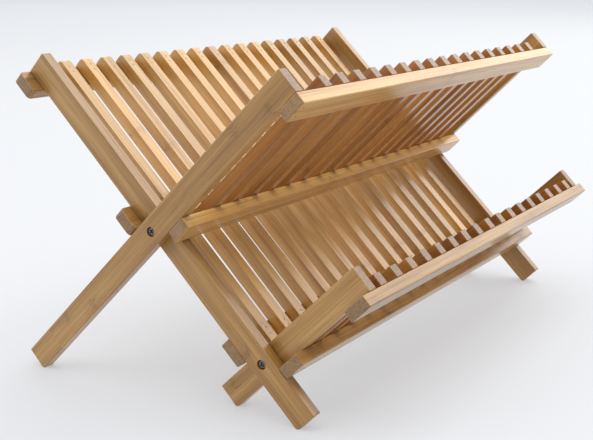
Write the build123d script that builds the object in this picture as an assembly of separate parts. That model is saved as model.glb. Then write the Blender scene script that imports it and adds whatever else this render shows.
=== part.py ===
from build123d import *
import os
from math import cos, radians, sin

# A folding two-tier dish rack in laminated bamboo, standing open for use.
#
# Units are millimetres. X runs across the rack, Y from front to back and Z up.
# The origin is on the floor, at the middle of the rack's footprint.
#
# Three slatted frames cross each other in side view:
#   back   the long frame, which leans back from the front feet
#   upper  leans forward from the rear feet, with its rails outside the back rails
#   lower  short, leans forward in front, with its rails inside the back rails
#
# Each frame is drawn flat and then leaned into place. Flat, X runs across the
# rack, Y is the reach up the rail from its foot, and Z is the level through the
# rail, with 0 at its middle and positive towards the plates.

# --- Overall sizes -----------------------------------------------------------
overall_width = 420.0
rail_length = 311.5  # back and upper rails
lean = 44.4  # angle of every rail above the floor, in degrees

# --- Rails and bars ----------------------------------------------------------
rail_width = 18.0
rail_thickness = 8.6
rail_gap = 1.0  # between neighbouring rails at a pivot
bar_width = 18.0
bar_thickness = 8.6
edge_ease = 0.8  # rounding of every rail and bar edge
bar_end_radius = 3.2  # end corners of the bars that stand proud of the crossing rails
foot_flat = 2.5  # flat that each rail's lowest corner stands on

# --- Slats -------------------------------------------------------------------
slat_count = 17
slat_width = 8.2  # upper and lower slats
back_slat_width = 9.0
slat_thickness = 8.8
slat_rail_gap = 6.0  # from a lower rail to the first slat
slat_ease = 0.5
back_slat_nose = 2.5  # rounding of a back slat's upper front edge

# --- Pivots and the fold -----------------------------------------------------
upper_pivot_reach = 160.5
lower_pivot_reach = 47.0
fold_clearance = 0.3  # between two frames that are folded flat together
stop_clearance = 0.3  # between a bar and the crossing rail that it stops
upper_bar_clearance = 1.5  # from the upper bottom bar to the back rail
fold_gap = 1.3  # from the folded lower frame to the upper bottom bar

# --- Pivot screws and washers ------------------------------------------------
screw_radius = 1.75
screw_head_radius = 3.1
screw_head_height = 2.0
screw_head_rounding = 0.7
screw_recess_width = 0.9
screw_recess_span = 3.6
screw_recess_depth = 1.2
screw_cover = 1.0  # wood left past the screw's tip
screw_tip_length = 2.0
counterbore_depth = 3.2
counterbore_clearance = 0.3
running_clearance = 0.05  # radial, and under a screw's head
washer_radius = 4.5
washer_bore_clearance = 0.1
washer_end_clearance = 0.1

# --- Nails -------------------------------------------------------------------
nail_radius = 0.5
nail_head_radius = 0.75
nail_head_height = 0.5
nail_sink = 0.1  # heads stand this far below the wood
nail_hole_clearance = 0.02
nail_tip_cover = 1.5  # wood left past a nail's tip
slat_nail_spacing = 5.0  # between the two nails of one crossing
rail_nail_spacing = 8.0
rail_nail_bite = 10.0  # length of a bar's nail inside the rail

# --- Worked out from the sizes above -----------------------------------------
cos_lean = cos(radians(lean))
sin_lean = sin(radians(lean))
cos_crossing = cos(radians(2 * lean))
sin_crossing = sin(radians(2 * lean))

half_rail = rail_width / 2
bar_level = -half_rail - bar_thickness  # a bar's outer face
slat_level = -half_rail + slat_thickness  # a slat's inner face
pivot_level = fold_clearance / 2  # pivots sit off the rails' middle by this

upper_outer = overall_width / 2  # outer faces of the upper rails
back_outer = upper_outer - rail_thickness - rail_gap
lower_outer = back_outer - rail_thickness - rail_gap

first_slat = lower_outer - rail_thickness - slat_rail_gap - slat_width / 2
slat_pitch = 2 * first_slat / (slat_count - 1)
slat_places = [-first_slat + slat_pitch * index for index in range(slat_count)]

counterbore_radius = screw_head_radius + counterbore_clearance
slat_nail_length = slat_thickness + bar_thickness - nail_tip_cover
rail_nail_length = bar_thickness + rail_nail_bite

foot_depth = foot_flat * sin_lean * cos_lean  # cut off each rail's lowest corner
foot_height = half_rail * cos_lean - foot_depth


def crossing_edge(pivot_reach, level):
    """Reach at which the crossing rail's inner edge passes a level of this rail."""
    edge = half_rail - pivot_level
    run = (level - pivot_level - edge * cos_crossing) / sin_crossing
    return pivot_reach + edge * sin_crossing - run * cos_crossing


def bar_start(pivot_reach, clearance):
    """Lowest reach of a bar that clears the rail crossing at a pivot."""
    return clearance + max(
        crossing_edge(pivot_reach, -half_rail),
        crossing_edge(pivot_reach, bar_level),
    )


def reach_on_crossing_rail(pivot_reach, reach, level):
    """Reach, up the crossing rail, of a point given on this rail."""
    beyond = reach - pivot_reach
    return pivot_reach - beyond * cos_crossing + (level - pivot_level) * sin_crossing


back_top = rail_length - bar_width
back_middle = bar_start(upper_pivot_reach, stop_clearance)
back_bottom = bar_start(lower_pivot_reach, stop_clearance)
upper_top = rail_length - bar_width
upper_bottom = bar_start(upper_pivot_reach, upper_bar_clearance)
lower_bottom = bar_start(lower_pivot_reach, stop_clearance)
lower_rail_length = min(
    reach_on_crossing_rail(upper_pivot_reach, upper_bottom, bar_level),
    reach_on_crossing_rail(upper_pivot_reach, upper_bottom + bar_width, bar_level),
) - fold_gap
lower_top = lower_rail_length - bar_width

upper_foot = 2 * (upper_pivot_reach * cos_lean - pivot_level * sin_lean)
lower_foot = 2 * (lower_pivot_reach * cos_lean - pivot_level * sin_lean)


# --- Boards ------------------------------------------------------------------
def board(x_range, y_range, z_range, ease):
    """A straight board with every edge eased."""
    spans = [high - low for low, high in (x_range, y_range, z_range)]
    middle = [(low + high) / 2 for low, high in (x_range, y_range, z_range)]
    return Pos(*middle) * fillet(Box(*spans).edges(), ease)


def rail(side, outer, length):
    """A rail on one side, with side -1 at the left and 1 at the right."""
    faces = sorted((side * outer, side * (outer - rail_thickness)))
    return board(faces, (0, length), (-half_rail, half_rail), edge_ease)


def square_bar(half_length, start):
    """A bar whose ends finish flush with the rails' outer faces."""
    return board(
        (-half_length, half_length), (start, start + bar_width), (bar_level, -half_rail), edge_ease
    )


def rounded_bar(half_length, start):
    """A bar that stands past its own rails, with rounded end corners."""
    outline = RectangleRounded(2 * half_length, bar_width, bar_end_radius)
    blank = extrude(Pos(0, start + bar_width / 2, bar_level) * outline, bar_thickness)
    rims = blank.faces().filter_by(Axis.Z).edges()
    return fillet(rims, edge_ease)


def slat(start, end):
    """An upper or lower slat, with square ends, at the middle of the rack."""
    return board((-slat_width / 2, slat_width / 2), (start, end), (-half_rail, slat_level), slat_ease)


def nosed_slat(start, end):
    """A back slat, whose upper front edge is rounded over."""
    blank = Pos(0, (start + end) / 2, (slat_level - half_rail) / 2) * Box(
        back_slat_width, end - start, slat_thickness
    )
    top_edge = blank.faces().sort_by(Axis.Y)[-1].edges().sort_by(Axis.Z)[-1]
    nosed = fillet(top_edge, back_slat_nose)
    return chamfer(nosed.faces().sort_by(Axis.Z)[0].edges(), slat_ease)


# --- Nails -------------------------------------------------------------------
def nail(length, clearance=0.0):
    """A brad that points down from a surface at 0, or the hole it needs."""
    head_top = 0.0 if clearance else -nail_sink
    head_base = -nail_sink - nail_head_height
    head_height = head_top - head_base
    head = Pos(0, 0, head_base + head_height / 2) * Cylinder(nail_head_radius + clearance, head_height)
    shank_length = length + clearance + head_base
    shank = Pos(0, 0, head_base - shank_length / 2) * Cylinder(nail_radius + clearance, shank_length)
    return head + shank


def slat_nail_reaches(bar_reaches):
    """Reaches of the nails that fix a slat to the bars that start at these reaches."""
    half = slat_nail_spacing / 2
    return [start + bar_width / 2 + step for start in bar_reaches for step in (-half, half)]


def slat_nails(places, bar_reaches, clearance=0.0):
    """Slat nails, or their holes, at these places across the rack."""
    one = nail(slat_nail_length, clearance)
    reaches = slat_nail_reaches(bar_reaches)
    return [Pos(place, reach, slat_level) * one for place in places for reach in reaches]


def rail_nails(outer, bar_reaches, clearance=0.0):
    """Nails, or their holes, that fix bars to the rear edges of a pair of rails."""
    one = Rot(180, 0, 0) * nail(rail_nail_length, clearance)
    half = rail_nail_spacing / 2
    middle = outer - rail_thickness / 2
    return [
        Pos(side * middle, start + bar_width / 2 + step, bar_level) * one
        for side in (-1, 1)
        for start in bar_reaches
        for step in (-half, half)
    ]


# --- Pivots ------------------------------------------------------------------
# A screw runs from an outer rail into the next rail inwards. Its seat is the
# floor of the outer rail's counterbore.
def outward(side, x, reach):
    """Place for a piece that is drawn along Z, turned to face out sideways."""
    return Pos(side * x, reach, pivot_level) * Rot(0, side * 90, 0)


def pivot_bore(side, outer, reach):
    """Counterbore and running hole through an outer rail."""
    counterbore = Pos(0, 0, -counterbore_depth / 2) * Cylinder(counterbore_radius, counterbore_depth)
    hole = Pos(0, 0, -rail_thickness / 2) * Cylinder(screw_radius + running_clearance, rail_thickness)
    return outward(side, outer, reach) * (counterbore + hole)


def screw_bite(side, outer, reach):
    """Hole that the screw has cut for itself in an inner rail."""
    depth = rail_thickness - screw_cover
    return outward(side, outer, reach) * Pos(0, 0, -depth / 2) * Cylinder(screw_radius, depth)


def pivot_screw(side, outer, reach):
    """Cross-head screw, given the outer face of the rail that it passes through."""
    head = Pos(0, 0, screw_head_height / 2) * Cylinder(screw_head_radius, screw_head_height)
    rim = head.faces().sort_by(Axis.Z)[-1].edges()
    head = fillet(rim, screw_head_rounding)
    slot = Box(screw_recess_span, screw_recess_width, screw_recess_depth)
    recess = slot + Rot(0, 0, 90) * slot
    head -= Pos(0, 0, screw_head_height - screw_recess_depth / 2) * recess
    length = 2 * rail_thickness + rail_gap + running_clearance - counterbore_depth - screw_cover
    plain_length = length - screw_tip_length
    shank = Pos(0, 0, -plain_length / 2) * Cylinder(screw_radius, plain_length)
    tip = Pos(0, 0, -plain_length - screw_tip_length / 2) * Cone(
        screw_radius / 4, screw_radius, screw_tip_length
    )
    seat = outer - counterbore_depth + running_clearance
    return outward(side, seat, reach) * (head + shank + tip)


def pivot_washer(side, outer, reach):
    """Washer that lies on the outer face of an inner rail."""
    thickness = rail_gap - washer_end_clearance
    ring = Cylinder(washer_radius, thickness) - Cylinder(screw_radius + washer_bore_clearance, thickness)
    return outward(side, outer, reach) * Pos(0, 0, thickness / 2) * ring


# --- Frames, drawn flat ------------------------------------------------------
def spread(one, places, label):
    """Numbered copies of a slat, one at each place across the rack."""
    return {f"{label}_{index:02d}": Pos(place, 0, 0) * one for index, place in enumerate(places, 1)}


def back_frame():
    """Back frame, with the screws and washers that it carries for the upper frame."""
    bars = {
        "back_top_bar": (rounded_bar(upper_outer, back_top), back_top),
        "back_middle_bar": (rounded_bar(upper_outer, back_middle), back_middle),
        "back_bottom_bar": (square_bar(back_outer, back_bottom), back_bottom),
    }
    reaches = [start for _, start in bars.values()]
    nodes = {
        name: bar
        - slat_nails(slat_places, [start], nail_hole_clearance)
        - rail_nails(back_outer, [start], nail_hole_clearance)
        for name, (bar, start) in bars.items()
    }
    for name, side in (("back_rail_left", -1), ("back_rail_right", 1)):
        nodes[name] = (
            rail(side, back_outer, rail_length)
            - screw_bite(side, back_outer, upper_pivot_reach)
            - pivot_bore(side, back_outer, lower_pivot_reach)
            - rail_nails(back_outer, reaches, nail_hole_clearance)
        )
    one = nosed_slat(back_bottom, rail_length)
    one -= slat_nails([0], reaches, nail_hole_clearance)
    nodes.update(spread(one, slat_places, "back_slat"))
    nodes["back_slat_nails"] = Compound(slat_nails(slat_places, reaches))
    nodes["back_rail_nails"] = Compound(rail_nails(back_outer, reaches))
    nodes["upper_pivot_screws"] = Compound(
        [pivot_screw(side, upper_outer, upper_pivot_reach) for side in (-1, 1)]
    )
    nodes["upper_pivot_washers"] = Compound(
        [pivot_washer(side, back_outer, upper_pivot_reach) for side in (-1, 1)]
    )
    return nodes


def leaning_frame(label, bars, outer, length, rail_cut):
    """Rails, bars and nails of a frame that leans forward, and its one slat."""
    nodes = {
        name: bar
        - slat_nails(slat_places, [start], nail_hole_clearance)
        - rail_nails(outer, [start], nail_hole_clearance)
        for name, (bar, start) in bars.items()
    }
    reaches = [start for _, start in bars.values()]
    # The frame turns half round when it is stood up, which swaps its sides.
    for name, side in ((f"{label}_rail_left", 1), (f"{label}_rail_right", -1)):
        nodes[name] = (
            rail(side, outer, length)
            - rail_cut(side)
            - rail_nails(outer, reaches, nail_hole_clearance)
        )
    nodes[f"{label}_slat_nails"] = Compound(slat_nails(slat_places, reaches))
    nodes[f"{label}_rail_nails"] = Compound(rail_nails(outer, reaches))
    one = slat(min(reaches), length) - slat_nails([0], reaches, nail_hole_clearance)
    return nodes, one


def upper_frame():
    """Upper frame, whose rails turn on screws held by the back rails."""
    bars = {
        "upper_top_bar": (square_bar(upper_outer, upper_top), upper_top),
        "upper_bottom_bar": (rounded_bar(upper_outer, upper_bottom), upper_bottom),
    }
    nodes, one = leaning_frame(
        "upper",
        bars,
        upper_outer,
        rail_length,
        lambda side: pivot_bore(side, upper_outer, upper_pivot_reach),
    )
    # Counted from the left once the frame is stood up.
    nodes.update(spread(one, slat_places[::-1], "upper_slat"))
    return nodes


def lower_frame():
    """Lower frame, with the screws and washers that it carries."""
    bars = {
        "lower_top_bar": (square_bar(back_outer, lower_top), lower_top),
        "lower_bottom_bar": (square_bar(back_outer, lower_bottom), lower_bottom),
    }
    nodes, one = leaning_frame(
        "lower",
        bars,
        lower_outer,
        lower_rail_length,
        lambda side: screw_bite(side, lower_outer, lower_pivot_reach),
    )
    nodes["lower_slats"] = Compound([Pos(place, 0, 0) * one for place in slat_places])
    nodes["lower_pivot_screws"] = Compound(
        [pivot_screw(side, back_outer, lower_pivot_reach) for side in (-1, 1)]
    )
    nodes["lower_pivot_washers"] = Compound(
        [pivot_washer(side, lower_outer, lower_pivot_reach) for side in (-1, 1)]
    )
    return nodes


# --- Standing the frames up --------------------------------------------------
lean_back = Pos(0, 0, foot_height) * Rot(lean, 0, 0)
lean_forward = Rot(-lean, 0, 0) * Rot(0, 0, 180)
stood = [
    (lean_back, back_frame()),
    (Pos(0, upper_foot, foot_height) * lean_forward, upper_frame()),
    (Pos(0, lower_foot, foot_height) * lean_forward, lower_frame()),
]
rack = {name: place * piece for place, nodes in stood for name, piece in nodes.items()}

below_floor = Pos(0, upper_foot / 2, -rail_width) * Box(
    2 * overall_width, 4 * rail_length, 2 * rail_width
)
for name in [name for name in rack if "_rail_left" in name or "_rail_right" in name]:
    rack[name] -= below_floor

depths = [piece.bounding_box() for piece in rack.values()]
middle_depth = (min(box.min.Y for box in depths) + max(box.max.Y for box in depths)) / 2

os.makedirs("parts", exist_ok=True)
for name, piece in rack.items():
    export_step(Pos(0, -middle_depth, 0) * piece, f"parts/{name}.step")

for label, reach in (("upper", upper_pivot_reach), ("lower", lower_pivot_reach)):
    pivot_y = reach * cos_lean - pivot_level * sin_lean - middle_depth
    pivot_z = foot_height + reach * sin_lean + pivot_level * cos_lean
    print(f"{label} pivot at Y {pivot_y:.4f}, Z {pivot_z:.4f}; folds {180 - 2 * lean:.1f} degrees")
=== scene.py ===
"""Folding two-tier dish rack in laminated bamboo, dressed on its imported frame.

Lengths are in metres, in the row frame: X across the rack, Y from front to back
and Z up. Each slatted frame also has flat axes of its own: across the rack, up
its rails and inwards, towards the plates.
"""

import logging
import math
from collections.abc import Sequence
from dataclasses import dataclass, field
from enum import Enum

import bpy
from mathutils import Matrix, Quaternion, Vector


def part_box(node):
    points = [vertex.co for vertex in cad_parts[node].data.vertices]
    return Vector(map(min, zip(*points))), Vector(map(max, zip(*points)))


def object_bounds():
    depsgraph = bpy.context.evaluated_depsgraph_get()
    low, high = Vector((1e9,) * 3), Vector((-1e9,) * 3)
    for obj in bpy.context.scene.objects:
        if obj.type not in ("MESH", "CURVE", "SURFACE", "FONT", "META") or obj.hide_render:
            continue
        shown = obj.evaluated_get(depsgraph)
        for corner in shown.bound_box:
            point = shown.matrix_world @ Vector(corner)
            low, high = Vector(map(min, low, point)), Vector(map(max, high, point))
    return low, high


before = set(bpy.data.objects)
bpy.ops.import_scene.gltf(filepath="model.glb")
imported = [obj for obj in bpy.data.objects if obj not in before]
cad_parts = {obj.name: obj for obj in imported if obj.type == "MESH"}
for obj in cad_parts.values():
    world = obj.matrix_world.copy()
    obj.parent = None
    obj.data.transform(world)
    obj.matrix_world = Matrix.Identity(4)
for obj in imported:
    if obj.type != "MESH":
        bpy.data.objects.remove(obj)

LOG = logging.getLogger("dish_rack")
CAD_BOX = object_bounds()
MM = 0.001
Colour = tuple[float, float, float]


class Cut(Enum):
    """How a board is sawn from its strip, which sets the way that its grain runs."""

    UPRIGHT = "upright"  # rails and slats: the grain runs up the frame
    CROSSWISE = "crosswise"  # bars: the grain runs across the rack


def rgba(colour: Colour) -> tuple[float, float, float, float]:
    """Gives a colour with full opacity."""
    return (*colour, 1.0)


# --- Node graphs --------------------------------------------------------------


@dataclass
class Graph:
    """Node tree, with short calls that add and join nodes.

    Attributes:
        owner: Material or world that holds the tree.
    """

    owner: bpy.types.Material | bpy.types.World

    def __post_init__(self) -> None:
        """Turns on the owner's nodes and empties its tree."""
        self.owner.use_nodes = True
        self.owner.node_tree.nodes.clear()

    @classmethod
    def of_material(cls, name: str) -> "Graph":
        """Makes a new material and gives its empty graph."""
        return cls(bpy.data.materials.new(name))

    def add(self, kind: str, inputs: dict | None = None, **settings: object) -> bpy.types.Node:
        """Adds a node.

        Args:
            kind: Node type, as bpy names it.
            inputs: Socket name or index to a value, or to the socket that feeds it.
            **settings: Properties to set on the node.

        Returns:
            The new node.
        """
        node = self.owner.node_tree.nodes.new(kind)
        for key, value in settings.items():
            setattr(node, key, value)
        for key, value in (inputs or {}).items():
            self.feed(node.inputs[key], value)
        return node

    def feed(self, socket: bpy.types.NodeSocket, value: object) -> None:
        """Sets a socket's value, or links it to another socket."""
        if isinstance(value, bpy.types.NodeSocket):
            self.owner.node_tree.links.new(value, socket)
        else:
            socket.default_value = value

    def math(self, operation: str, *values: object, clamp: bool = False) -> bpy.types.NodeSocket:
        """Adds a Math node.

        Args:
            operation: The sum that it does.
            *values: Its one, two or three values or sockets.
            clamp: Whether to hold the result between 0 and 1.

        Returns:
            The result's socket.
        """
        node = self.add("ShaderNodeMath", dict(enumerate(values)), operation=operation)
        node.use_clamp = clamp
        return node.outputs[0]

    def band(self, value: object, low: float, high: float, to: tuple = (0.0, 1.0)) -> bpy.types.NodeSocket:
        """Maps a value smoothly from one range to another.

        Args:
            value: Socket to map.
            low: Value that gives the first of `to`.
            high: Value that gives the second of `to`.
            to: The two results.

        Returns:
            The mapped socket.
        """
        inputs = {0: value, 1: low, 2: high, 3: to[0], 4: to[1]}
        return self.add("ShaderNodeMapRange", inputs, interpolation_type="SMOOTHSTEP").outputs[0]

    def mix(self, factor: object, first: object, second: object, blend: str = "MIX") -> bpy.types.NodeSocket:
        """Mixes two colours.

        Args:
            factor: Share of the second colour.
            first: Colour or socket.
            second: Colour or socket.
            blend: Blend mode.

        Returns:
            The mixed colour's socket.
        """
        node = self.add("ShaderNodeMix", data_type="RGBA", blend_type=blend)
        for index, value in ((0, factor), (6, first), (7, second)):
            self.feed(node.inputs[index], value)
        return node.outputs[2]

    def noise(self, vector: object, detail: float, roughness: float = 0.5) -> bpy.types.NodeSocket:
        """Adds noise over coordinates that are already scaled, and gives its factor."""
        inputs = {"Vector": vector, "Scale": 1.0, "Detail": detail, "Roughness": roughness}
        return self.add("ShaderNodeTexNoise", inputs).outputs[0]

    def white(self, vector: object) -> bpy.types.NodeSocket:
        """Adds a value from 0 to 1 that differs from one whole-number place to the next."""
        return self.add("ShaderNodeTexWhiteNoise", {"Vector": vector}).outputs[0]

    def stretch(self, vector: object, scales: tuple[float, float, float]) -> bpy.types.NodeSocket:
        """Multiplies a vector by a scale for each axis."""
        inputs = {0: vector, 1: scales}
        return self.add("ShaderNodeVectorMath", inputs, operation="MULTIPLY").outputs[0]

    def combine(self, *values: object) -> bpy.types.NodeSocket:
        """Makes a vector from three values or sockets."""
        return self.add("ShaderNodeCombineXYZ", dict(enumerate(values))).outputs[0]

    def separate(self, vector: object) -> list[bpy.types.NodeSocket]:
        """Splits a vector into its three sockets."""
        return list(self.add("ShaderNodeSeparateXYZ", {0: vector}).outputs)

    def ramp(self, factor: object, stops: Sequence[tuple[float, Colour]]) -> bpy.types.NodeSocket:
        """Adds a colour ramp.

        Args:
            factor: Socket that drives the ramp.
            stops: Position and colour of each stop, in order.

        Returns:
            The ramp's colour socket.
        """
        node = self.add("ShaderNodeValToRGB", {0: factor})
        elements = node.color_ramp.elements
        while len(elements) < len(stops):
            elements.new(0.5)
        for element, (position, colour) in zip(elements, stops):
            element.position = position
            element.color = rgba(colour)
        return node.outputs[0]

    def finish(self, shader: bpy.types.Node) -> bpy.types.Material:
        """Joins the shader to the material's output and gives the material."""
        self.add("ShaderNodeOutputMaterial", {"Surface": shader.outputs[0]})
        return self.owner


# --- Finishes -----------------------------------------------------------------


@dataclass(frozen=True)
class FlatAxes:
    """Flat axes of one slatted frame.

    Attributes:
        centre: Point on the rails' middle line, half-way across the rack.
        up: Direction up the rails.
        inward: Direction through the rails, towards the plates.
    """

    centre: Vector
    up: Vector
    inward: Vector

    def turn(self) -> Matrix:
        """Gives the rotation from the row frame to the flat axes."""
        return Matrix(((1.0, 0.0, 0.0), tuple(self.up), tuple(self.inward)))


@dataclass(frozen=True)
class Palette:
    """Colours of one batch of bamboo. The paler and darker palettes below also paint in light and shade.

    Attributes:
        pale: Colour of the palest fibres.
        mid: Colour of the ground.
        deep: Colour of the darkest fibres.
    """

    pale: Colour
    mid: Colour
    deep: Colour


HONEY = Palette((0.56, 0.325, 0.098), (0.39, 0.195, 0.042), (0.21, 0.083, 0.016))
# Paler copy, partly a paler batch of boards and partly painted light: it stands in for the light and warm
# bounce on the back slats and the upper bars.
STRAW_PALE_AND_LIT = Palette((0.74, 0.46, 0.150), (0.60, 0.325, 0.080), (0.36, 0.145, 0.027))
# Darker copy that paints in the shade on the upper and lower frames' slats, whose undersides face away from
# the light.
AMBER_SHADED = Palette((0.53, 0.255, 0.062), (0.39, 0.160, 0.028), (0.20, 0.062, 0.011))
END_GRAIN = (
    (0.0, (0.05, 0.026, 0.015)),
    (0.45, (0.16, 0.080, 0.036)),
    (1.0, (0.28, 0.165, 0.085)),
)

# Patterns per metre: along the grain, across the plies and the other way across.
FIBRE_SCALE = (16.0, 1100.0, 1100.0)
VEIN_SCALE = (30.0, 2100.0, 2100.0)
WAVE_SCALE = (5.0, 130.0, 130.0)
WANDER_SCALE = (60.0, 520.0, 520.0)
FLECK_SCALE = (230.0, 1500.0, 1500.0)

# Patterns per metre on a cut end: across the plies, the other way across and along the grain.
BUNDLE_SCALE = (1250.0, 1250.0, 60.0)

# Cell sizes that tell the boards of one kind apart.
RAIL_SPACING = 0.39
BAR_SPACING = 0.05
WHOLE = 9.0  # longer than the rack, so that this axis doesn't divide a board

BOARD_SHIFT = 7.0  # metres of grain between the least and the greatest board value
NODE_WANDER = 16.0 * MM
NODE_CORE = (0.5 * MM, 4.5 * MM)
NODE_HAZE = 15.0 * MM


@dataclass(frozen=True)
class Bamboo:
    """Laminated bamboo, sanded and lacquered.

    Attributes:
        name: Name of the material.
        axes: Flat axes of the frame that the boards are in.
        cut: Way that the grain runs.
        cell: Size of one board's cell across and up the frame, to tell boards apart.
        palette: Its colours.
        tone: How much one board may differ from the next.
        ply: Thickness of one glued ply.
        node_pitch: Distance between the culm's nodes along a board.
        seed: Sets which boards have nodes, and where.
    """

    name: str
    axes: FlatAxes
    cut: Cut
    cell: tuple[float, float]
    palette: Palette
    tone: float = 0.16
    ply: float = 6.0 * MM
    node_pitch: float = 0.24
    seed: float = 0.0

    def material(self) -> bpy.types.Material:
        """Builds the material and gives it."""
        graph = Graph.of_material(self.name)
        place, facing = self._flat_inputs(graph)
        across, up, inward = graph.separate(place)
        board = self._board_value(graph, across, up)
        if self.cut is Cut.UPRIGHT:
            along, wide, deep, end = up, inward, across, graph.separate(facing)[1]
        else:
            along, wide, deep, end = across, inward, up, graph.separate(facing)[0]
        shifted = graph.math("ADD", along, graph.math("MULTIPLY", board, BOARD_SHIFT))
        grain = graph.combine(shifted, wide, deep)
        fibres = graph.noise(graph.stretch(grain, FIBRE_SCALE), 4.0, 0.62)
        veins = graph.noise(graph.stretch(grain, VEIN_SCALE), 2.0, 0.5)
        waves = graph.noise(graph.stretch(grain, WAVE_SCALE), 3.0, 0.55)
        knots = self._nodes(graph, shifted, wide, deep, board)
        colour = self._side_colour(graph, fibres, veins, waves, knots, board, wide)
        dots = self._end_dots(graph, wide, deep, along)
        end_mask = graph.band(graph.math("ABSOLUTE", end), 0.72, 0.9)
        end_colour = graph.mix(0.25, graph.ramp(dots, END_GRAIN), colour)
        base = graph.mix(end_mask, colour, end_colour)
        rough = graph.band(fibres, 0.3, 0.7, (0.56, 0.42))
        rough = graph.math("ADD", rough, graph.math("MULTIPLY", end_mask, 0.22))
        ridges = graph.math("MULTIPLY", fibres, 0.7)
        relief = graph.math("SUBTRACT", ridges, graph.math("MULTIPLY", veins, 0.3))
        relief = graph.math("ADD", relief, graph.math("MULTIPLY", knots, 0.8))
        relief = graph.mix(end_mask, relief, dots)
        bump = graph.add("ShaderNodeBump", {"Height": relief, "Strength": 0.35, "Distance": 0.00018})
        inputs = {"Base Color": base, "Roughness": rough, "Normal": bump.outputs[0]}
        shader = graph.add("ShaderNodeBsdfPrincipled", inputs)
        shader.inputs["Specular IOR Level"].default_value = 0.4
        shader.inputs["Coat Weight"].default_value = 0.75
        shader.inputs["Coat Roughness"].default_value = 0.2
        return graph.finish(shader)

    def _flat_inputs(self, graph: Graph) -> tuple[bpy.types.NodeSocket, bpy.types.NodeSocket]:
        """Turns Object coordinates and normals into the frame's flat axes.

        Args:
            graph: Graph to add to.

        Returns:
            Place and facing in the flat axes.
        """
        source = graph.add("ShaderNodeTexCoord")
        turn = self.axes.turn()
        angles = turn.to_euler()
        shift = -(turn @ self.axes.centre)
        inputs = {"Vector": source.outputs["Object"], "Location": shift, "Rotation": angles}
        place = graph.add("ShaderNodeMapping", inputs)
        inputs = {"Vector": source.outputs["Normal"], "Rotation": angles}
        facing = graph.add("ShaderNodeMapping", inputs, vector_type="VECTOR")
        return place.outputs[0], facing.outputs[0]

    def _board_value(self, graph: Graph, across: object, up: object) -> bpy.types.NodeSocket:
        """Gives each board a value of its own, from 0 to 1."""
        column = graph.math("ROUND", graph.math("DIVIDE", across, self.cell[0]))
        row = graph.math("FLOOR", graph.math("DIVIDE", up, self.cell[1]))
        return graph.white(graph.combine(column, row, self.seed))

    def _nodes(
        self, graph: Graph, along: object, wide: object, deep: object, board: object
    ) -> bpy.types.NodeSocket:
        """Marks the ragged bands where the culm's nodes were.

        Args:
            graph: Graph to add to.
            along: Distance along the grain.
            wide: Distance across the plies.
            deep: Distance across the other way.
            board: Value of the board.

        Returns:
            Strength of the node mark, from 0 to 1.
        """
        strip = graph.math("FLOOR", graph.math("DIVIDE", wide, 1.5 * self.ply))
        own = graph.white(graph.combine(strip, graph.math("MULTIPLY", board, 97.0), self.seed + 3.0))
        grain = graph.combine(along, wide, deep)
        wander = graph.noise(graph.stretch(grain, WANDER_SCALE), 3.0, 0.6)
        flecks = graph.noise(graph.stretch(grain, FLECK_SCALE), 2.0, 0.6)
        step = graph.math("ADD", graph.math("DIVIDE", along, self.node_pitch), own)
        apart = graph.math("ABSOLUTE", graph.math("SUBTRACT", graph.math("FRACT", step), 0.5))
        apart = graph.math("MULTIPLY", apart, self.node_pitch)
        aside = graph.math("MULTIPLY", graph.math("SUBTRACT", wander, 0.5), NODE_WANDER)
        apart = graph.math("ADD", apart, aside)
        core = graph.band(apart, *NODE_CORE, (0.75, 0.0))
        core = graph.math("MULTIPLY", core, graph.band(flecks, 0.35, 0.6))
        haze = graph.band(apart, 0.0, NODE_HAZE, (0.42, 0.0))
        haze = graph.math("MULTIPLY", haze, graph.band(flecks, 0.3, 0.75))
        return graph.math("MAXIMUM", core, haze)

    def _end_dots(self, graph: Graph, wide: object, deep: object, along: object) -> bpy.types.NodeSocket:
        """Gives the cut fibre bundles of the end grain, dark at 0."""
        place = graph.stretch(graph.combine(wide, deep, along), BUNDLE_SCALE)
        inputs = {"Vector": place, "Scale": 1.0}
        cells = graph.add("ShaderNodeTexVoronoi", inputs, feature="F1").outputs["Distance"]
        blur = graph.noise(graph.stretch(place, (0.35, 0.35, 1.0)), 2.0)
        lift = graph.math("SUBTRACT", blur, 0.5)
        return graph.math("ADD", graph.band(cells, 0.12, 0.55), lift, clamp=True)

    def _side_colour(
        self,
        graph: Graph,
        fibres: object,
        veins: object,
        waves: object,
        knots: object,
        board: object,
        wide: object,
    ) -> bpy.types.NodeSocket:
        """Builds the colour of the long faces.

        Args:
            graph: Graph to add to.
            fibres: Fine fibre noise.
            veins: Finer noise, whose peaks are dark bundles.
            waves: Broad streaks.
            knots: Strength of the node marks.
            board: Value of the board.
            wide: Distance across the plies.

        Returns:
            The colour's socket.
        """
        shades = self.palette
        colour = graph.ramp(fibres, [(0.30, shades.deep), (0.48, shades.mid), (0.70, shades.pale)])
        streak = graph.ramp(waves, [(0.30, shades.deep), (0.5, shades.mid), (0.68, shades.pale)])
        colour = graph.mix(0.5, colour, streak)
        vein = graph.band(veins, 0.60, 0.72)
        colour = graph.mix(graph.math("MULTIPLY", vein, 0.5), colour, rgba(shades.deep))
        strip = graph.math("FLOOR", graph.math("DIVIDE", wide, self.ply))
        own = graph.white(graph.combine(strip, graph.math("MULTIPLY", board, 53.0), self.seed))
        level = graph.math("ADD", graph.math("MULTIPLY", board, 0.65), graph.math("MULTIPLY", own, 0.35))
        level = graph.band(level, 0.0, 1.0, (1.0 - self.tone, 1.0 + self.tone))
        colour = graph.mix(1.0, colour, graph.combine(level, level, level), "MULTIPLY")
        within = graph.math("FRACT", graph.math("DIVIDE", wide, self.ply))
        seam = graph.math("ABSOLUTE", graph.math("SUBTRACT", within, 0.5))
        seam = graph.band(seam, 0.462, 0.495)
        colour = graph.mix(graph.math("MULTIPLY", seam, 0.28), colour, rgba(shades.deep))
        mark = graph.math("MULTIPLY", knots, 0.72)
        return graph.mix(mark, colour, rgba(tuple(0.62 * part for part in shades.deep)))


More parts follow.
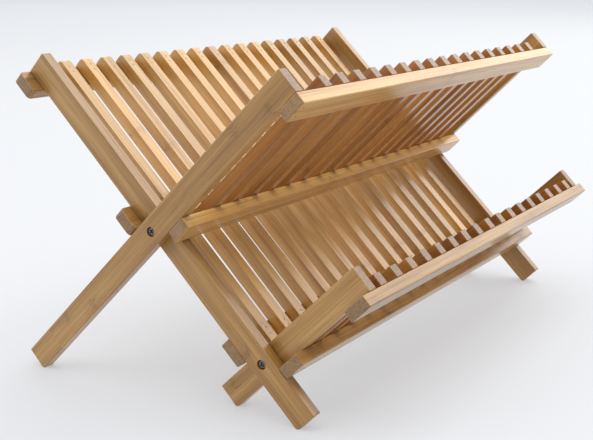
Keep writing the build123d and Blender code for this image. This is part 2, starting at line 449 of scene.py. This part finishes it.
@dataclass(frozen=True)
class Steel:
    """Zinc-plated steel of the screws and brads.

    Attributes:
        name: Name of the material.
        colour: Colour of the clean metal, darkened to paint in the shade of the screw recesses.
        tarnish_and_shade: Colour where it has dulled, darkened likewise to paint in that shade.
        roughness: Lowest and highest roughness.
    """

    name: str
    # These default colours are darkened to paint in the shade of the screw recesses.
    colour: Colour = (0.20, 0.185, 0.17)
    tarnish_and_shade: Colour = (0.05, 0.042, 0.035)
    roughness: tuple[float, float] = (0.22, 0.48)

    def material(self) -> bpy.types.Material:
        """Builds the material and gives it."""
        graph = Graph.of_material(self.name)
        place = graph.add("ShaderNodeTexCoord").outputs["Object"]
        dull = graph.noise(graph.stretch(place, (900.0, 900.0, 900.0)), 3.0, 0.6)
        fine = graph.noise(graph.stretch(place, (4200.0, 4200.0, 4200.0)), 2.0)
        base = graph.mix(graph.band(dull, 0.45, 0.75), rgba(self.colour), rgba(self.tarnish_and_shade))
        rough = graph.band(dull, 0.3, 0.7, self.roughness)
        bump = graph.add("ShaderNodeBump", {"Height": fine, "Strength": 0.2, "Distance": 0.00005})
        inputs = {"Base Color": base, "Roughness": rough, "Normal": bump.outputs[0], "Metallic": 1.0}
        return graph.finish(graph.add("ShaderNodeBsdfPrincipled", inputs))


@dataclass(frozen=True)
class Nylon:
    """Natural nylon of the pivot washers.

    Attributes:
        name: Name of the material.
        colour: Colour of the clean nylon.
        worn: Colour where it has yellowed.
    """

    name: str
    colour: Colour = (0.74, 0.72, 0.64)
    worn: Colour = (0.60, 0.53, 0.38)

    def material(self) -> bpy.types.Material:
        """Builds the material and gives it."""
        graph = Graph.of_material(self.name)
        place = graph.add("ShaderNodeTexCoord").outputs["Object"]
        age = graph.noise(graph.stretch(place, (260.0, 260.0, 260.0)), 3.0)
        base = graph.mix(graph.band(age, 0.4, 0.7), rgba(self.colour), rgba(self.worn))
        rough = graph.band(age, 0.3, 0.7, (0.42, 0.6))
        bump = graph.add("ShaderNodeBump", {"Height": age, "Strength": 0.1, "Distance": 0.0001})
        inputs = {"Base Color": base, "Roughness": rough, "Normal": bump.outputs[0]}
        shader = graph.add("ShaderNodeBsdfPrincipled", inputs)
        shader.inputs["Subsurface Weight"].default_value = 0.1
        return graph.finish(shader)


# --- Sub-assemblies -----------------------------------------------------------


def dress(nodes: list[str], material: bpy.types.Material) -> None:
    """Gives CAD nodes one material."""
    for name in nodes:
        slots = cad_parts[name].data.materials
        slots.clear()
        slots.append(material)


@dataclass
class SlattedFrame:
    """One slatted frame: two rails, its bars, its slats and its nails.

    Attributes:
        label: First word of its nodes' names.
        low_bar: Node of its lowest bar.
        high_bar: Node of its highest bar.
        seed: Seed of its grain.
        slat_pitch: Distance between slats.
        bars: Colours of its bars.
        slats: Colours of its slats.
    """

    label: str
    low_bar: str
    high_bar: str
    seed: float
    slat_pitch: float
    bars: Palette
    slats: Palette

    def nodes(self, word: str) -> list[str]:
        """Lists this frame's nodes whose names hold a word."""
        return sorted(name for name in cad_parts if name.startswith(self.label) and word in name)

    def axes(self) -> FlatAxes:
        """Works out the frame's flat axes from its bars and rails."""
        low, high = (sum(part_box(name), Vector()) / 2 for name in (self.low_bar, self.high_bar))
        up = (high - low).normalized()
        inward = Vector((1.0, 0.0, 0.0)).cross(up)
        if inward.z < 0:
            inward.negate()
        rail_low, rail_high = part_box(f"{self.label}_rail_left")
        centre = (rail_low + rail_high) / 2
        centre.x = 0.0
        return FlatAxes(centre, up, inward)

    def dress(self) -> None:
        """Gives the rails, bars and slats their bamboo."""
        axes = self.axes()
        rails = Bamboo(
            f"{self.label}_rail_bamboo", axes, Cut.UPRIGHT, (RAIL_SPACING, WHOLE), HONEY,
            seed=self.seed, node_pitch=0.21,
        )
        bars = Bamboo(
            f"{self.label}_bar_bamboo", axes, Cut.CROSSWISE, (WHOLE, BAR_SPACING), self.bars,
            seed=self.seed + 11.0, ply=4.3 * MM, node_pitch=0.26,
        )
        slats = Bamboo(
            f"{self.label}_slat_bamboo", axes, Cut.UPRIGHT, (self.slat_pitch, WHOLE), self.slats,
            seed=self.seed + 23.0, ply=8.0 * MM, node_pitch=0.31,
        )
        dress(self.nodes("_rail_left") + self.nodes("_rail_right"), rails.material())
        dress(self.nodes("_bar"), bars.material())
        dress(self.nodes("_slat_0") + self.nodes("_slat_1") + self.nodes("_slats"), slats.material())
        LOG.info("%s frame dressed", self.label)


@dataclass
class Fasteners:
    """Pivot screws, washers and brads."""

    def dress(self) -> None:
        """Gives the fasteners their metal and nylon."""
        names = sorted(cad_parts)
        dress([name for name in names if "screws" in name], Steel("screw_steel").material())
        brads = Steel("brad_steel", (0.30, 0.27, 0.23), (0.10, 0.08, 0.06), (0.4, 0.7))
        dress([name for name in names if "nails" in name], brads.material())
        dress([name for name in names if "washers" in name], Nylon("washer_nylon").material())
        LOG.info("fasteners dressed")


# --- Studio -------------------------------------------------------------------


WARM_WHITE = (1.0, 0.99, 0.97)


@dataclass(frozen=True)
class Softbox:
    """One soft studio light.

    Attributes:
        name: Name of the light.
        place: Where it hangs.
        aim: Point that it faces.
        size: Length of its sides.
        power: Watts.
        colour: Colour of its light.
    """

    name: str
    place: Vector
    aim: Vector
    size: float
    power: float
    colour: Colour = (1.0, 1.0, 1.0)

    def build(self) -> None:
        """Hangs the light."""
        data = bpy.data.lights.new(self.name, "AREA")
        data.size = self.size
        data.energy = self.power
        data.color = self.colour
        lamp = bpy.data.objects.new(self.name, data)
        lamp.location = self.place
        lamp.rotation_euler = (self.aim - self.place).to_track_quat("-Z", "Y").to_euler()
        bpy.context.scene.collection.objects.link(lamp)


@dataclass
class Studio:
    """Pale floor, soft lights and the camera.

    Attributes:
        floor_half: Half the floor's side.
        floor_colour: Colour of the floor.
        floor_glow: Light that the floor gives off by itself, as a lit table does.
        sky_colour: Colour of the surroundings.
        sky_bright_side: Direction of their bright side.
        sky_dim: Brightness of their dim side.
        sky_bright: Brightness of their bright side.
        stand: Where the camera stands.
        azimuth: Direction that the camera looks in, from +Y towards +X, in degrees.
        tilt: How far it looks down, in degrees.
        roll: How far it leans, in degrees.
        lens: Focal length in millimetres.
        sensor: Width of the camera's sensor in millimetres.
    """

    floor_half: float = 30.0
    floor_colour: Colour = (0.37, 0.375, 0.385)
    floor_glow: float = 0.41
    sky_colour: Colour = (0.95, 0.97, 1.0)
    sky_bright_side: Vector = field(default_factory=lambda: Vector((0.50, 0.45, 0.74)))
    sky_dim: float = 0.15
    sky_bright: float = 0.88
    stand: Vector = field(default_factory=lambda: Vector((-0.7255, -0.4270, 0.2863)))
    azimuth: float = 57.19
    tilt: float = 13.393
    roll: float = -0.119
    lens: float = 64.10
    sensor: float = 36.0

    def build(self) -> None:
        """Builds the whole studio."""
        self._floor()
        self._sky()
        self._lights()
        self._camera()
        LOG.info("studio built")

    def _floor(self) -> None:
        """Lays a wide floor at the rack's feet."""
        bpy.ops.object.select_all(action="DESELECT")
        bpy.ops.mesh.primitive_plane_add(size=2 * self.floor_half, location=(0, 0, CAD_BOX[0].z))
        floor = bpy.context.active_object
        bpy.ops.object.transform_apply(location=True, rotation=True, scale=True)
        floor.name = "floor"
        graph = Graph.of_material("floor_card")
        place = graph.add("ShaderNodeTexCoord").outputs["Object"]
        tooth = graph.noise(graph.stretch(place, (900.0, 900.0, 900.0)), 2.0)
        rough = graph.band(tooth, 0.3, 0.7, (0.62, 0.7))
        inputs = {"Base Color": rgba(self.floor_colour), "Roughness": rough}
        shader = graph.add("ShaderNodeBsdfPrincipled", inputs)
        shader.inputs["Specular IOR Level"].default_value = 0.05
        shader.inputs["Emission Color"].default_value = rgba(self.sky_colour)
        shader.inputs["Emission Strength"].default_value = self.floor_glow
        floor.data.materials.append(graph.finish(shader))

    def _sky(self) -> None:
        """Surrounds the studio with soft light, bright on one side, that looks evenly pale."""
        graph = Graph(bpy.data.worlds.new("surroundings"))
        way = graph.add("ShaderNodeTexCoord").outputs["Generated"]
        inputs = {0: way, 1: self.sky_bright_side.normalized()}
        toward = graph.add("ShaderNodeVectorMath", inputs, operation="DOT_PRODUCT").outputs["Value"]
        level = graph.band(toward, -0.45, 0.45, (self.sky_dim, self.sky_bright))
        # Only the light is uneven: what lies beyond the floor is seen as pale as the bright side.
        seen = graph.add("ShaderNodeLightPath").outputs["Is Camera Ray"]
        extra = graph.math("MULTIPLY", seen, graph.math("SUBTRACT", self.sky_bright, level))
        level = graph.math("ADD", level, extra)
        inputs = {"Color": rgba(self.sky_colour), "Strength": level}
        background = graph.add("ShaderNodeBackground", inputs)
        graph.add("ShaderNodeOutputWorld", {"Surface": background.outputs[0]})
        bpy.context.scene.world = graph.owner
        bpy.context.scene.view_settings.view_transform = "Standard"

    def _lights(self) -> None:
        """Hangs the softboxes round the rack."""
        low, high = CAD_BOX
        middle = (low + high) / 2
        backdrop = Vector((5.6, 3.7, low.z))
        boxes = (
            Softbox("key_box", Vector((4.2, -0.9, 3.1)), middle, 3.8, 84.0, WARM_WHITE),
            Softbox("rear_left_box", Vector((-2.2, 2.4, 0.75)), middle, 1.1, 15.0, WARM_WHITE),
            Softbox("overhead_box", Vector((0.3, -0.8, 3.2)), Vector((0.3, -0.8, 0.0)), 4.6, 80.0),
            Softbox("backdrop_box", backdrop + Vector((0.0, 0.0, 3.2)), backdrop, 6.0, 66.0),
        )
        for box in boxes:
            box.build()

    def _camera(self) -> None:
        """Sets up the camera."""
        across, down = math.radians(self.azimuth), math.radians(self.tilt)
        level = Vector((math.sin(across), math.cos(across), 0.0))
        ahead = math.cos(down) * level - Vector((0.0, 0.0, math.sin(down)))
        data = bpy.data.cameras.new("camera")
        data.lens = self.lens
        data.sensor_width = self.sensor
        data.clip_start = 0.01
        data.clip_end = 4 * self.floor_half
        camera = bpy.data.objects.new("camera", data)
        turn = ahead.to_track_quat("-Z", "Y") @ Quaternion((0.0, 0.0, 1.0), math.radians(self.roll))
        camera.location = self.stand
        camera.rotation_euler = turn.to_euler()
        bpy.context.scene.collection.objects.link(camera)
        bpy.context.scene.camera = camera


def slat_pitch() -> float:
    """Gives the distance between neighbouring slats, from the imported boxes."""
    first, second = (sum(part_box(f"back_slat_0{number}"), Vector()) / 2 for number in (1, 2))
    return second.x - first.x


def main() -> None:
    """Dresses the rack and builds the studio."""
    logging.basicConfig(level=logging.INFO, format="%(name)s: %(message)s")
    pitch = slat_pitch()
    # The paler palette partly paints in light on the back slats and upper bars; the darker one paints in
    # shade on the upper and lower slats.
    SlattedFrame("back", "back_bottom_bar", "back_top_bar", 1.0, pitch, HONEY, STRAW_PALE_AND_LIT).dress()
    SlattedFrame("upper", "upper_bottom_bar", "upper_top_bar", 2.0, pitch, STRAW_PALE_AND_LIT, AMBER_SHADED).dress()
    SlattedFrame("lower", "lower_bottom_bar", "lower_top_bar", 3.0, pitch, HONEY, AMBER_SHADED).dress()
    Fasteners().dress()
    Studio().build()


if __name__ == "__main__":
    main()
